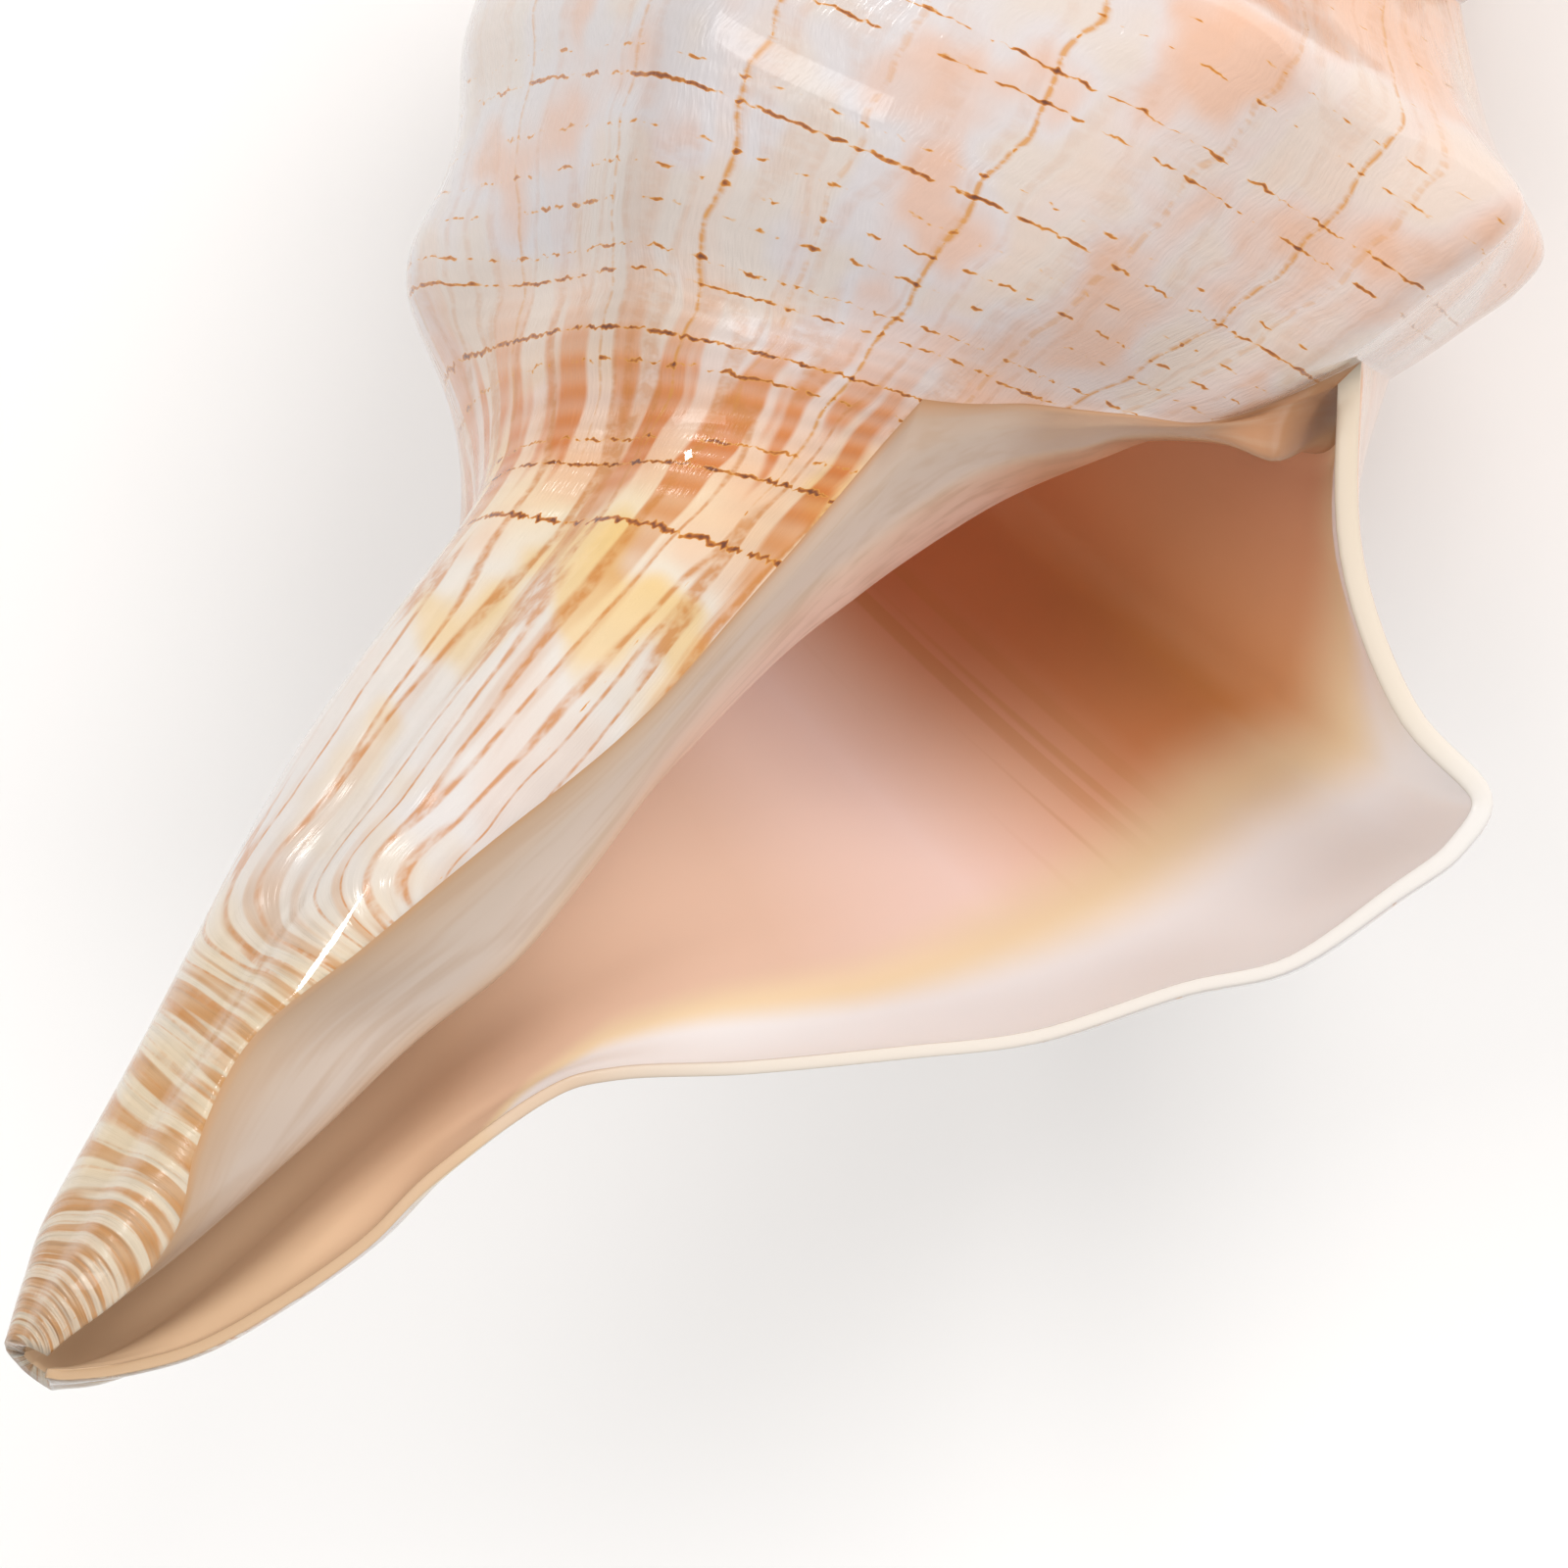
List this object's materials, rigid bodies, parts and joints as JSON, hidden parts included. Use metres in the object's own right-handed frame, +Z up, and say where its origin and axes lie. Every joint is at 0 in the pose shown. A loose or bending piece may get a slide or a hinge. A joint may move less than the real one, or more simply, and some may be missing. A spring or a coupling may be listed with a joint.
{
  "type": "conch shell",
  "caption": "Spindle-shaped sea snail shell with a knobbed shoulder, a wide open mouth and a long open canal, lying on its back with the mouth up.",
  "frame": {"origin": "middle of the shell's box, on the surface that it lies on", "axes": "+X towards the spire's apex, +Z up out of the mouth, -Y towards the outer lip"},
  "size_m": [0.1298, 0.0818, 0.0803],
  "materials": {
    "shell": "glossy"
  },
  "bodies": {
    "root": {"shell": "shell"}
  },
  "joints": []
}
